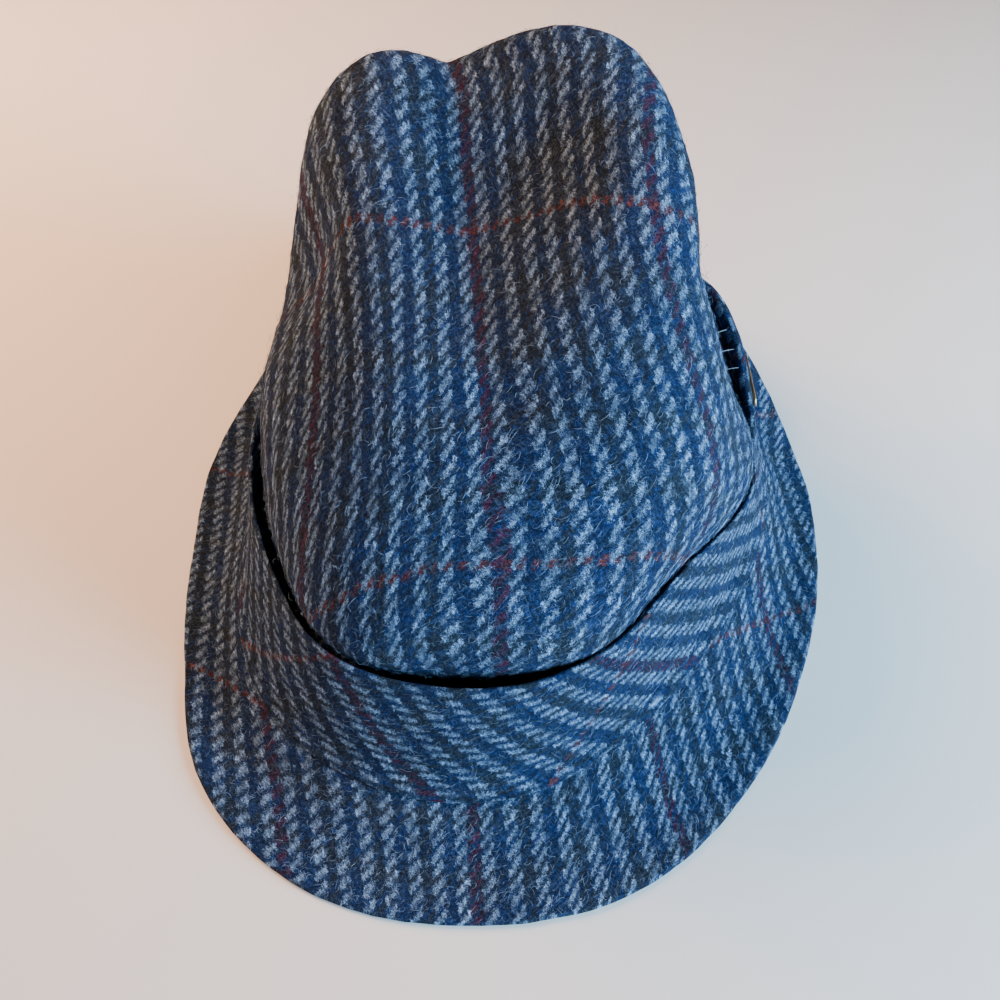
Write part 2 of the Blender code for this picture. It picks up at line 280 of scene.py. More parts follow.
def pressed(points, dents):
    out = points.copy()
    for place, spread, push in dents:
        away = sum(((points[..., k] - place[k]) / spread[k]) ** 2 for k in range(3))
        for k in range(3):
            out[..., k] += push[k] * np.exp(-away)
    return out


def crownRing(angles, level):
    height, halfWidth, halfLength, middleX, middleY, turn, square = (
        float(through(crown["sections"], k, level)) for k in range(1, 8)
    )
    c, s = np.cos(angles), np.sin(angles)
    x = np.sign(c) * np.abs(c) ** (2 / square) * halfWidth
    y = np.sign(s) * np.abs(s) ** (2 / square) * halfLength
    turned = -math.radians(turn)
    px = x * math.cos(turned) - y * math.sin(turned) + middleX
    py = x * math.sin(turned) + y * math.cos(turned) + middleY
    lift = min(max((level - crown["riseFrom"]) / crown["riseOver"], 0), 1) ** crown["riseCurve"]
    pz = height + (crown["riseBack"] * (py - crown["riseMiddleY"]) + crown["riseSide"] * px) * lift
    across = px - through(crown["crease"], 1, py)
    width = np.where(across < 0, through(crown["crease"], 3, py), through(crown["crease"], 4, py))
    onTop = min(max((level - crown["creaseFrom"]) / crown["creaseOver"], 0), 1)
    steep = np.exp(-(np.abs(across / width) ** crown["creaseSharpness"]))
    points = np.stack([px, py, pz - through(crown["crease"], 2, py) * steep * onTop], -1)
    # the dents are read from the point before the crease sinks it, as in the solid
    plain = np.stack([px, py, pz], -1)
    return points + pressed(plain, crown["dents"] + crown["folds"]) - plain


def crownReach(angles, height):
    heights = np.broadcast_to(height, angles.shape)
    fine = anglesAround(band["columns"])
    reaches = []
    ringHeights = []
    for level in np.linspace(0, crown["reachTo"], crown["reachLevels"]):
        ring = crownRing(fine, level)
        seen = np.arctan2(ring[:, 1], ring[:, 0])
        order = np.argsort(seen)
        reach = np.hypot(ring[:, 0], ring[:, 1])[order]
        reaches.append(np.interp(angles, seen[order], reach, period=2 * math.pi))
        ringHeights.append(ring[:, 2].mean())
    reaches = np.array(reaches)
    return np.array([np.interp(heights[i], ringHeights, reaches[:, i]) for i in range(len(angles))])


def bandLine(angles, level):
    footReach, footHeight = readAround(band["foot"], angles)
    topReach, topHeight = readAround(band["top"], angles)
    footHeight = footHeight + band["seat"]
    height = footHeight + (topHeight - footHeight) * level
    reach = footReach + (topReach - footReach) * level
    clear = crownReach(angles, height) + 2 * band["seat"]
    return placed(angles, np.maximum(reach, clear), height)


def brimRings(angles, steps):
    flange = crown["footHeight"] - band["seat"]
    foot = crownReach(angles, crown["footHeight"])
    footReach, footHeight = readAround(band["foot"], angles)
    edgeReach, edgeHeight = readAround(brim["edge"], angles)
    edgeHeight = np.maximum(edgeHeight, 0) + brim["cloth"]
    rings = [
        placed(angles, foot - brim["flangeInside"], flange),
        placed(angles, foot + brim["flangeOutside"], flange),
    ]
    for step in np.linspace(0, 1, steps):
        fall = np.sin(min(step / (1 - brim["flatShare"]), 1) * math.pi / 2) ** brim["fallCurve"]
        rise = step ** brim["riseCurve"]
        share = np.where(edgeHeight > footHeight, rise, fall)
        reach = footReach + (edgeReach - footReach) * step
        rings.append(placed(angles, reach, footHeight + (edgeHeight - footHeight) * share))
    return rings


def brimAbove(angles, distance):
    # points of the brim's upper face, a distance out from the band's foot
    footReach, _ = readAround(band["foot"], angles)
    edgeReach, _ = readAround(brim["edge"], angles)
    step = distance / (edgeReach - footReach)
    rings = np.array(brimRings(angles, brim["steps"])[2:])
    place = step * (brim["steps"] - 1)
    low = np.floor(place).astype(int)
    along = (place - low)[:, None]
    column = np.arange(len(angles))
    return rings[low, column] * (1 - along) + rings[low + 1, column] * along


def underside(rings, thickness):
    # the lower face, a thickness away from the upper one and square to its run
    lower = []
    for i, ring in enumerate(rings):
        start = min(i, len(rings) - 2)
        run = rings[start + 1] - rings[start]
        out = np.hypot(rings[start + 1][:, 0], rings[start + 1][:, 1])
        out = out - np.hypot(rings[start][:, 0], rings[start][:, 1])
        length = np.hypot(out, run[:, 2])
        reach = np.hypot(ring[:, 0], ring[:, 1])
        around = np.arctan2(ring[:, 1], ring[:, 0])
        lowerReach = reach + thickness * run[:, 2] / length
        lower.append(placed(around, lowerReach, ring[:, 2] - thickness * out / length))
    return lower


# the solid's own rings, so that the hat's middle is the same as in the CAD
solidEdge = brimRings(anglesAround(brim["solidColumns"]), brim["solidSteps"])
solidEdge = np.concatenate([solidEdge[-1], underside(solidEdge, brim["cloth"])[-1]])
middle = np.append((solidEdge.min(0)[:2] + solidEdge.max(0)[:2]) / 2, 0)
print("hat's middle", middle.round(5))


lumps = {"size": 0.011, "finer": 2.7, "finerShare": 0.5}


def lumpy(points, outward, height):
    # slow waves of the cloth with finer ones on them
    moved = points.reshape(-1, 3)
    out = outward.reshape(-1, 3)
    amount = []
    for p in moved / lumps["size"]:
        finer = noise.noise(Vector(p * lumps["finer"]))
        amount.append(noise.noise(Vector(p)) + lumps["finerShare"] * finer)
    return (moved + out * (np.array(amount) * height)[:, None]).reshape(points.shape)


def outwardOf(grid):
    # normals of a grid of rings, from the rings' own runs
    around = np.roll(grid, -1, axis=1) - np.roll(grid, 1, axis=1)
    up = np.gradient(grid, axis=0)
    return unit(np.cross(around, up))


def linked(name, data):
    thing = bpy.data.objects.new(name, data)
    bpy.context.scene.collection.objects.link(thing)
    return thing


def meshPiece(name, points, faces, materials):
    mesh = bpy.data.meshes.new(name)
    mesh.from_pydata(points, [], faces)
    mesh.polygons.foreach_set("use_smooth", [True] * len(mesh.polygons))
    for material in materials:
        mesh.materials.append(material)
    return linked(name, mesh)


def clothPiece(name, grid, places, closeTop=False, endToEnd=False):
    # rings of points with the weave's own places; places has one column more than grid
    rows, columns = grid.shape[:2]
    points = (grid - middle).reshape(-1, 3)
    index = np.arange(rows * columns).reshape(rows, columns)
    nextIndex = np.roll(index, -1, axis=1)
    lower, upper = slice(0, rows - 1), slice(1, rows)
    quads = np.stack([index[lower], nextIndex[lower], nextIndex[upper], index[upper]], -1).reshape(-1, 4)
    here, beyond = places[:, :-1], places[:, 1:]
    corners = np.stack([here[lower], beyond[lower], beyond[upper], here[upper]], 2).reshape(-1, 4, 2)
    if endToEnd:
        more = np.stack([index[-1], nextIndex[-1], nextIndex[0], index[0]], -1)
        moreCorners = np.stack([here[-1], beyond[-1], beyond[0], here[0]], 1)
        quads = np.concatenate([quads, more])
        corners = np.concatenate([corners, moreCorners])
    faces = [tuple(q) for q in quads.tolist()]
    loops = corners.reshape(-1, 2)
    if closeTop:
        tip = points[index[-1]].mean(axis=0)
        points = np.vstack([points, tip])
        centre = places[-1, :-1].mean(axis=0)
        for i in range(columns):
            faces.append((int(index[-1, i]), int(nextIndex[-1, i]), len(points) - 1))
        tipCorners = np.stack([here[-1], beyond[-1], np.broadcast_to(centre, here[-1].shape)], 1)
        loops = np.concatenate([loops, tipCorners.reshape(-1, 2)])
    piece = meshPiece(name, points.tolist(), faces, [tweedCloth])
    layer = piece.data.uv_layers.new(name="weave")
    layer.data.foreach_set("uv", loops.astype(np.float32).ravel())
    piece.data.update()
    return piece


# Shader writing: values are Wires, and sums on them add Math nodes
class Wire:
    def __init__(self, shader, socket):
        self.shader = shader
        self.socket = socket

    def math(self, operation, *values):
        sockets = dict(enumerate(values))
        return self.shader.add("ShaderNodeMath", {"operation": operation}, sockets, 0)

    def __add__(self, other):
        return self.math("ADD", self, other)

    def __sub__(self, other):
        return self.math("SUBTRACT", self, other)

    def __rsub__(self, other):
        return self.math("SUBTRACT", other, self)

    def __mul__(self, other):
        return self.math("MULTIPLY", self, other)

    def __truediv__(self, other):
        return self.math("DIVIDE", self, other)

    __radd__ = __add__
    __rmul__ = __mul__

    def __mod__(self, other):
        return self.math("FLOORED_MODULO", self, other)

    def __lt__(self, other):
        return self.math("LESS_THAN", self, other)

    def floor(self):
        return self.math("FLOOR", self)

    def absolute(self):
        return self.math("ABSOLUTE", self)

    def sine(self):
        return self.math("SINE", self)

    def lifted(self, base, gain):
        # base where the value is 0, and gain more where it is 1
        return base + gain * self

    def between(self, low, high):
        # 0 up to low, 1 from high on
        clamped = {"clamp": True}
        sockets = {"Value": self, "From Min": low, "From Max": high}
        return self.shader.add("ShaderNodeMapRange", clamped, sockets, "Result")


class Shader:
    def __init__(self, name):
        self.material = bpy.data.materials.new(name)
        self.material.use_nodes = True
        self.tree = self.material.node_tree
        self.surface = self.tree.nodes["Principled BSDF"]

    def add(self, kind, settings, sockets, output):
        node = self.tree.nodes.new(kind)
        for key, value in settings.items():
            if key == "stops":
                ramp = node.color_ramp
                ramp.interpolation = "CONSTANT"
                while len(ramp.elements) > 1:
                    ramp.elements.remove(ramp.elements[-1])
                ramp.elements[0].position = value[0][0]
                ramp.elements[0].color = value[0][1]
                for place, colour in value[1:]:
                    ramp.elements.new(place).color = colour
            else:
                setattr(node, key, value)
        for key, value in sockets.items():
            self.feed(node.inputs[key], value)
        return Wire(self, node.outputs[output])

    def feed(self, target, value):
        if isinstance(value, Wire):
            self.tree.links.new(value.socket, target)
        else:
            target.default_value = value

    def pick(self, factor, whenZero, whenOne):
        # a value chosen by another value
        return whenZero + (whenOne - whenZero) * factor

    def blend(self, factor, first, second, mode="MIX"):
        settings = {"data_type": "RGBA", "blend_type": mode}
        return self.add("ShaderNodeMix", settings, {0: factor, 6: first, 7: second}, 2)

    def grey(self, value):
        return self.add("ShaderNodeCombineColor", {}, {0: value, 1: value, 2: value}, 0)

    def vector(self, x, y):
        return self.add("ShaderNodeCombineXYZ", {}, {0: x, 1: y}, 0)

    def dressed(self, inputs):
        # fills the surface's inputs and gives the material
        for name, value in inputs.items():
            self.feed(self.surface.inputs[name], value)
        return self.material

    def parts(self, vector):
        node = self.tree.nodes.new("ShaderNodeSeparateXYZ")
        self.tree.links.new(vector.socket, node.inputs[0])
        return [Wire(self, socket) for socket in node.outputs]


tweed = {
    "endsInGroup": 4,
    "endGroups": 8,
    "pickGroups": 10,
    "paleEnd": (0.198, 0.302, 0.458, 1),
    "palePick": (0.010, 0.026, 0.072, 1),
    "navy": (0.0032, 0.017, 0.074, 1),
    "brown": (0.014, 0.019, 0.026, 1),
    "burgundy": (0.060, 0.0055, 0.020, 1),
    "rust": (0.115, 0.020, 0.010, 1),
    "burgundyShare": 0.95,
    "rustShare": 0.6,
    "haze": (0.023, 0.046, 0.100, 1),
    "hair": (0.28, 0.40, 0.54, 1),
    # how the yarns stray from their rows: size and detail of the noise, and how far they stray
    "strays": ((0.11, 2.0, 0.8), (1.0, 3.0, 1.05), (4.5, 2.0, 1.15)),
    "pickIds": 1000,  # keeps the shades of the picks apart from those of the ends
    "roundness": 0.8,
    "dive": (0.35, 0.65),
    "twist": 0.8,
    "streaksAcross": 7.0,
    "streaksAlong": 0.5,
    # hairs that lie over the weave: way and size of each layer, then the noise they come from
    "hairLayers": ((0.9, 1.0), (-0.5, 1.2), (2.6, 0.9)),
    "hairBend": 9,
    "hairBendSize": 0.22,
    "hairAlong": 0.30,
    "hairAcross": 2.7,
    "hairShows": (0.60, 0.76),
    "hairShare": 0.15,
    "hairPatches": (0.3, 1.4),
    # thin lines where slow clouds cross their middle: way and size of each layer
    "tangles": ((0.0, 1.15), (1.9, 1.5), (4.1, 2.1)),
    "tangleApart": 7,
    "tangleDetail": 1.5,
    "tangleSharpness": 11.0,
    "tanglePatch": 0.6,
    "tangleShows": (0.35, 0.62),
    "fuzzSize": 1.6,
    "patchSize": 0.045,
    # light and dark of the weave: what each part of it gives at the least, and more at the most
    # the yarn's height gives painted shade: darker between the yarns, where each dives under its neighbours
    "paintedGapShade": (0.40, 0.70),
    "shadeLight": (0.55, 0.9),
    "patchLight": (0.70, 0.6),
    "streakShows": (0.34, 0.68),
    "streakLight": 0.70,
    "gapLight": 0.08,
    "tangleLight": 1.45,
    "hazeShows": (0.30, 0.75),
    "hazeShare": 0.42,
    "hazeLight": (0.15, 0.7),
    "hazeTangle": 1.3,
    # shares of the relief that yarns, streaks and fuzz have
    "yarnRelief": 0.8,
    "streakRelief": 0.45,
    "fuzzRelief": 0.7,
    "bump": 0.9,
    "relief": 0.0006,
    "roughness": 0.95,
    "gloss": 0.08,
    "sheen": 0.03,
    "sheenRoughness": 0.5,
    "sheenTint": (0.6, 0.78, 1.0, 1),
}


def colourOrder(groups, pale, overcheck, share):
    # one round of the check: pale and dark groups by turns, and the overcheck in a share of one dark group
    order = []
    for group in range(groups):
        dark = tweed["navy"] if group % 2 else tweed["brown"]
        order.append((2 * group, overcheck if group == 0 else dark))
        if group == 0:
            order.append((share, tweed["navy"]))
        order.append((2 * group + 1, pale))
    return [(start / (2 * groups), colour) for start, colour in order]


endOrder = colourOrder(tweed["endGroups"], tweed["paleEnd"], tweed["burgundy"], tweed["burgundyShare"])
pickOrder = colourOrder(tweed["pickGroups"], tweed["palePick"], tweed["rust"], tweed["rustShare"])
roundOfEnds = 2 * tweed["endGroups"] * tweed["endsInGroup"]
roundOfPicks = 2 * tweed["pickGroups"] * tweed["endsInGroup"]


def tweedMaterial(name):
    s = Shader(name)
    place = s.add("ShaderNodeUVMap", {"uv_map": "weave"}, {}, "UV")

    def cloud(where, size, detail, output="Fac"):
        sockets = {"Vector": where, "Scale": size, "Detail": detail}
        return s.add("ShaderNodeTexNoise", {"noise_dimensions": "2D"}, sockets, output)

    across, along, _ = s.parts(place)
    u, v = across, along
    for size, detail, reach in tweed["strays"]:
        strayAcross, strayAlong, _ = s.parts(cloud(place, size, detail, "Color"))
        u = u + (strayAcross - 0.5) * (2 * reach)
        v = v + (strayAlong - 0.5) * (2 * reach)
    end, row = u.floor(), v.floor()
    inEnd, inRow = u - end, v - row
    # the twill: each yarn goes over two and under two, one step further on from row to row
    step = end + row
    phase = step % 4
    endUp = phase < 2

    endPlace = (end % roundOfEnds + 0.5) / roundOfEnds
    endColour = s.add("ShaderNodeValToRGB", {"stops": endOrder}, {"Fac": endPlace}, "Color")
    rowPlace = (row % roundOfPicks + 0.5) / roundOfPicks
    rowColour = s.add("ShaderNodeValToRGB", {"stops": pickOrder}, {"Fac": rowPlace}, "Color")
    yarn = s.blend(endUp, rowColour, endColour)

    # every float of yarn has its own shade
    floatId = ((step - 2 * (1 - endUp)) / 4).floor()
    ownPlace = s.vector(s.pick(endUp, row + tweed["pickIds"], end), floatId)
    shade = s.add("ShaderNodeTexWhiteNoise", {"noise_dimensions": "2D"}, {"Vector": ownPlace}, "Value")

    # a rounded yarn that dives under its neighbours at both ends of the float
    side = s.pick(endUp, inRow, inEnd) * 2 - 1
    run = s.pick(endUp, (phase - 2 + inEnd) / 2, (phase + inRow) / 2)
    height = (1 - side * side * tweed["roundness"]) * (run * math.pi).sine().lifted(*tweed["dive"])

    # fibres twisted round the yarn
    sideways = s.pick(endUp, v + u * tweed["twist"], u - v * tweed["twist"])
    lengthways = s.pick(endUp, u, v)
    twisted = s.vector(sideways * tweed["streaksAcross"], lengthways * tweed["streaksAlong"])
    streak = cloud(twisted, 1.0, 4.0)

    def facing(turn):
        # the place read along and across a way over the cloth
        c, d = math.cos(turn), math.sin(turn)
        return across * c + along * d, along * c - across * d

    bend = cloud(place, tweed["hairBendSize"], 2.0) * tweed["hairBend"]
    hair = 0.0
    for turn, size in tweed["hairLayers"]:
        forth, aside = facing(turn)
        forth = forth * (tweed["hairAlong"] * size) + bend * tweed["hairAlong"]
        aside = aside * (tweed["hairAcross"] * size) + bend
        hair = hair + cloud(s.vector(forth, aside), 1.0, 2.0).between(*tweed["hairShows"])
    tangle = 0.0
    for turn, size in tweed["tangles"]:
        forth, aside = facing(turn)
        start = s.vector(forth, aside + turn * tweed["tangleApart"])
        line = 1 - (cloud(start, size, tweed["tangleDetail"]) - 0.5).absolute() * tweed["tangleSharpness"]
        patches = cloud(start, size * tweed["tanglePatch"], 1.0).between(*tweed["tangleShows"])
        tangle = line.between(0.0, 1.0) * patches + tangle
    fuzz = cloud(place, tweed["fuzzSize"], 4.0)
    patch = cloud(place, tweed["patchSize"], 2.0)

    fibresLight = streak.between(*tweed["streakShows"]) * tweed["streakLight"] + tweed["gapLight"]
    fibresLight = fibresLight + tweed["tangleLight"] * tangle
    # painted shade between the yarns from their height, times each float's own tone, its fibres and slow
    # patches
    light = height.lifted(*tweed["paintedGapShade"]) * shade.lifted(*tweed["shadeLight"]) * fibresLight
    light = light * patch.lifted(*tweed["patchLight"])
    woven = s.blend(1.0, yarn, s.grey(light), "MULTIPLY")
    hazeLight = streak.lifted(*tweed["hazeLight"]) + tweed["hazeTangle"] * tangle
    haze = s.blend(1.0, tweed["haze"], s.grey(hazeLight), "MULTIPLY")
    hazy = s.blend(fuzz.between(*tweed["hazeShows"]) * tweed["hazeShare"], woven, haze)
    hairShare = hair * tweed["hairShare"] * fuzz.lifted(*tweed["hairPatches"])

    relief = height * tweed["yarnRelief"] + tweed["streakRelief"] * streak + tweed["fuzzRelief"] * fuzz
    bump = {"Height": relief, "Strength": tweed["bump"], "Distance": tweed["relief"]}
    return s.dressed({
        "Base Color": s.blend(hairShare.between(0.0, 1.0), hazy, tweed["hair"]),
        "Normal": s.add("ShaderNodeBump", {}, bump, "Normal"),
        "Roughness": tweed["roughness"],
        "Specular IOR Level": tweed["gloss"],
        "Sheen Weight": tweed["sheen"],
        "Sheen Roughness": tweed["sheenRoughness"],
        "Sheen Tint": tweed["sheenTint"],
    })


tweedCloth = tweedMaterial("tweed_cloth")
print("tweed material made")


lay = {
    "columns": 60,
    "levels": 32,
    "rounds": 60,
    "shearLimit": 68.0,  # degrees between end and pick at the most sheared place
    "shearEase": 0.60,  # how freely the cloth shears, 1 being quite free
}


def layCloth():
    # The crown's cloth as it was blocked: ends and picks keep their length and shear.
    # Each round lets every triangle take its own best weave and then joins them up again.
    columns, levels = lay["columns"], lay["levels"]
    angles = anglesAround(columns)
    grid = np.array([crownRing(angles, level) for level in np.linspace(0, 1, levels + 1)[:-1]])
    tip = crownRing(angles, 1.0).mean(axis=0)
    points = np.vstack([grid.reshape(-1, 3), tip])
    index = np.arange(levels * columns).reshape(levels, columns)
    beyond = np.roll(index, -1, axis=1)
    triangles = np.concatenate([
        np.stack([index[:-1], beyond[:-1], beyond[1:]], -1).reshape(-1, 3),
        np.stack([index[:-1], beyond[1:], index[1:]], -1).reshape(-1, 3),
        np.stack([index[-1], beyond[-1], np.full(columns, len(points) - 1)], -1),
    ])
    a, b, c = (points[triangles[:, k]] for k in range(3))
    ab, ac = b - a, c - a
    length = np.linalg.norm(ab, axis=1)
    along = ab / length[:, None]
    acAlong = (ac * along).sum(1)
    acAcross = np.linalg.norm(ac - along * acAlong[:, None], axis=1)
    area = length * acAcross / 2
    # how a value changes over each triangle, per corner
    slopes = np.zeros((len(triangles), 3, 2))
    slopes[:, 1] = np.stack([1 / length, -acAlong / (length * acAcross)], -1)
    slopes[:, 2] = np.stack([0 * length, 1 / acAcross], -1)
    slopes[:, 0] = -slopes[:, 1] - slopes[:, 2]
    stiffness = np.zeros((len(points), len(points)))
    for i in range(3):
        for j in range(3):
            pull = area * (slopes[:, i] * slopes[:, j]).sum(1)
            np.add.at(stiffness, (triangles[:, i], triangles[:, j]), pull)
    stiffness += np.eye(len(points)) * stiffness.max() * 1e-9
    solved = np.linalg.inv(stiffness)

    upToTip = np.concatenate([grid, np.broadcast_to(tip, (1, columns, 3))])
    steps = np.linalg.norm(np.diff(upToTip, axis=0), axis=2)
    fromTip = np.cumsum(steps[::-1], axis=0)[::-1]
    flat = np.stack([fromTip * np.cos(angles), fromTip * np.sin(angles)], -1).reshape(-1, 2)
    flat = np.vstack([flat, [0, 0]])
    widest = math.radians(lay["shearLimit"]) / 2
    for _ in range(lay["rounds"]):
        turned = np.einsum("tiv,tic->tvc", flat[triangles], slopes)
        woven = np.linalg.inv(turned)
        end, row = unit(woven[:, :, 1]), unit(woven[:, :, 0])
        bisector = unit(end + row)
        normal = np.stack([-bisector[:, 1], bisector[:, 0]], -1)
        half = np.arccos(np.clip((bisector * row).sum(1), -1, 1))
        half = math.pi / 4 + (half - math.pi / 4) * lay["shearEase"]
        half = np.clip(half, widest, math.pi / 2 - widest)
        row = bisector * np.cos(half)[:, None] - normal * np.sin(half)[:, None]
        end = bisector * np.cos(half)[:, None] + normal * np.sin(half)[:, None]
        wanted = np.linalg.inv(np.stack([row, end], -1))
        right = np.zeros((len(points), 2))
        for i in range(3):
            np.add.at(right, triangles[:, i], area[:, None] * np.einsum("tvc,tc->tv", wanted, slopes[:, i]))
        flat = solved @ right
    print("cloth laid over the crown")
    return np.concatenate([flat[:-1].reshape(levels, columns, 2), np.broadcast_to(flat[-1], (1, columns, 2))])


def readBetween(rows, place):
    # smooth reading of a table of arrays at fractional places along its first axis
    i = int(place)
    t = place - i
    before, start, end, after = (rows[min(max(i + k, 0), len(rows) - 1)] for k in (-1, 0, 1, 2))
    return (
        start
        + 0.5 * t * (end - before)
        + t * t * (before - 2.5 * start + 2 * end - 0.5 * after)
        + 1.5 * t**3 * (start - end + (after - before) / 3)
    )


def pixelsOf(points):
    # where the camera has points of the hat, across and down in the photograph's pixels
    turn = np.array(Euler([math.radians(a) for a in studio["cameraTurn"]]).to_matrix())
    local = (points - eyeOnHat()) @ turn
    focal = studio["lens"] / studio["sensor"] * studio["photoSize"]
    return np.stack([local[..., 0], -local[..., 1]], -1) / -local[..., 2:] * focal + studio["photoSize"] / 2


def eyeOnHat():
    return np.array(studio["cameraPlace"]) + middle


def pulledTo(grid, outward, laid):
    # moves the laid weave a little so that the overcheck runs where the photograph has it
    points = grid.reshape(-1, 3)
    pixels = pixelsOf(points)
    hidden = ((eyeOnHat() - points) * outward.reshape(-1, 3)).sum(1) < 0
    pulls = []
    for axis, rows, count in ((0, crown["endsSeen"], roundOfEnds), (1, crown["picksSeen"], roundOfPicks)):
        rows = np.array(rows, float)
        spots = [np.argmin(np.where(hidden, np.inf, np.hypot(*(pixels - row[:2]).T))) for row in rows]
        away = rows[:, 2] * count - laid.reshape(-1, 2)[spots, axis]
        near = points[spots]

        def nearness(a, b):
            apart = ((a[:, None] - b[None]) ** 2).sum(2)
            wide = np.exp(-apart / crown["pullWide"] ** 2)
            return wide + crown["pullNear"] * np.exp(-apart / crown["pullReach"] ** 2)

        level = away.mean()
        weights = np.linalg.solve(nearness(near, near) + np.eye(len(near)) * crown["pullEase"], away - level)
        pulls.append(nearness(points, near) @ weights + level)
    return np.stack(pulls, -1).reshape(laid.shape)


def crownPlaces(grid):
    flat = layCloth()
    rows = np.array([readBetween(flat, k * lay["levels"] / crown["levels"]) for k in range(grid.shape[0])])
    wrapped = np.concatenate([rows[:, -2:], rows, rows[:, :3]], axis=1).swapaxes(0, 1)
    ratio = lay["columns"] / crown["columns"]
    places = np.array([readBetween(wrapped, 2 + k * ratio) for k in range(crown["columns"])]).swapaxes(0, 1)

    def spotAt(x, y, leftOut):
        away = np.abs(grid[..., 0] - x) + np.abs(grid[..., 1] - y) + leftOut
        return np.unravel_index(np.argmin(away), away.shape)

    # turn the cloth so that the ends run front to back, then shift it so that
    # the burgundy ends and the rust pick cross where the photo has them
    notInFront = (grid[..., 2] < crown["frontAbove"]) | (grid[..., 1] > crown["frontTo"])
    near = spotAt(*crown["overcheck"], notInFront)
    back = spotAt(*crown["overcheckBack"], 0)
    run = places[back] - places[near]
    turn = math.atan2(run[0], run[1])
    turned = np.stack([
        places[..., 0] * math.cos(turn) - places[..., 1] * math.sin(turn),
        places[..., 0] * math.sin(turn) + places[..., 1] * math.cos(turn),
    ], -1)
    turned = turned - turned[near]
    size = np.array([crown["yarn"], crown["yarn"] * crown["pickStretch"]])
    laid = turned / size
    laid = laid + pulledTo(grid, outwardOf(grid), laid) + tweed["endsInGroup"] / 2
    return laid * [1, -1]


def closedPlaces(places):
    return np.concatenate([places, places[:, :1]], axis=1)


def makeCrown():
    angles = anglesAround(crown["columns"])
    levels = np.linspace(0, 1, crown["levels"] + 1)[:-1]
    grid = np.array([crownRing(angles, level) for level in levels])
    places = crownPlaces(grid)
    outward = outwardOf(grid)
    grid = lumpy(grid, outward, crown["lumps"])
    piece = clothPiece("crown_cloth", grid, closedPlaces(places), closeTop=True)
    shell = piece.modifiers.new("Cloth", "SOLIDIFY")
    shell.thickness = crown["cloth"]
    shell.offset = -1
    shell.use_rim = True
    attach(piece, "root")
    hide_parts("crown")
    return grid, places, outward


def brimPlaces(grid):
    # flatten the brim outwards from the band's foot, then read the overcheck tables
    reach = np.hypot(grid[..., 0], grid[..., 1])
    run = np.linalg.norm(np.diff(grid, axis=0), axis=2)
    flat = np.concatenate([reach[:1], reach[:1] + np.cumsum(run, axis=0)])
    x = grid[..., 0] * flat / reach
    y = grid[..., 1] * flat / reach
    fromFront = -brim["leanReach"] * np.tanh((y - brim["lineFront"]) / brim["leanReach"])
    counts = np.array([row[0] for row in brim["ends"]], float)
    starts = np.array([row[1] for row in brim["ends"]])
    count = np.interp(x, starts, counts)
    for _ in range(brim["leanRounds"]):
        lean = through(brim["ends"], 2, count)
        count = np.interp(x - lean * fromFront, starts, counts)
    u = count * roundOfEnds + tweed["endsInGroup"] / 2
    v = (y - through(brim["pick"], 1, x)) / (brim["yarn"] * brim["pickStretch"])
    return np.stack([u, -v], -1)


def roundedEdge(start, end, outward):
    # rings that round the brim's edge between its two faces, outside or inside
    rings = []
    for step in brim["edgeSteps"]:
        bulge = math.sin(step * math.pi) * brim["cloth"] * brim["edgeBulge"] * outward
        centre = start + (end - start) * step
        reach = np.hypot(centre[:, 0], centre[:, 1])
        rings.append(centre * np.stack([1 + bulge / reach, 1 + bulge / reach, np.ones_like(reach)], -1))
    return rings


def makeBrim():
    angles = anglesAround(brim["columns"])
    upper = np.array(brimRings(angles, brim["steps"]))
    lower = np.array(underside(list(upper), brim["cloth"]))
    places = brimPlaces(upper)
    outer = roundedEdge(upper[-1], lower[-1], 1)
    inner = roundedEdge(lower[0], upper[0], -1)
    grid = np.array(list(upper) + outer + list(lower[::-1]) + inner)
    allPlaces = np.concatenate([places, [places[-1]] * len(outer), places[::-1], [places[0]] * len(inner)])
    allPlaces[len(places):len(places) + len(outer)] += [0.0, brim["edgeShift"]]
    grid = lumpy(grid, -outwardOf(grid), brim["lumps"])
    grid[..., 2] = np.maximum(grid[..., 2], 0)
    piece = clothPiece("brim_cloth", grid[::-1], closedPlaces(allPlaces)[::-1], endToEnd=True)
    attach(piece, "root")
    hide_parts("brim")
    return upper, places


def stripPlaces(face, angles, aroundLip, backRows):
    # the strip is cut on the bias, so ends and picks both cross it slantwise;
    # gives the weave of its face, and of its back, lip and face in one
    closed = np.concatenate([face, face[:, :1]], axis=1)
    around = np.linalg.norm(np.diff(closed.mean(axis=0), axis=0), axis=1)
    distance = np.concatenate([[0], np.cumsum(around)])
    distance = distance - np.interp(-0.5 * math.pi, angles, distance[:-1])
    up = np.cumsum(np.linalg.norm(np.diff(face, axis=0), axis=2), axis=0)
    rise = np.concatenate([np.zeros((1, len(angles))), up])
    rise = np.concatenate([rise, rise[:, :1]], axis=1)

    def onStrip(rise):
        u = (distance[None] + rise) / math.sqrt(2) / band["yarn"] + band["endsFrom"]
        v = (-distance[None] + rise) / math.sqrt(2) / band["yarn"] + band["picksFrom"]
        return np.stack([u, v], -1)

    lipRise = rise[-1] + np.array(band["lipSteps"])[::-1, None] * aroundLip
    downBack = np.linspace(rise[-1].max(), 0, backRows)[:, None]
    backRise = lipRise[0] + band["backShift"] + downBack
    places = onStrip(rise)
    return places, np.concatenate([onStrip(backRise), onStrip(lipRise), places[::-1]])


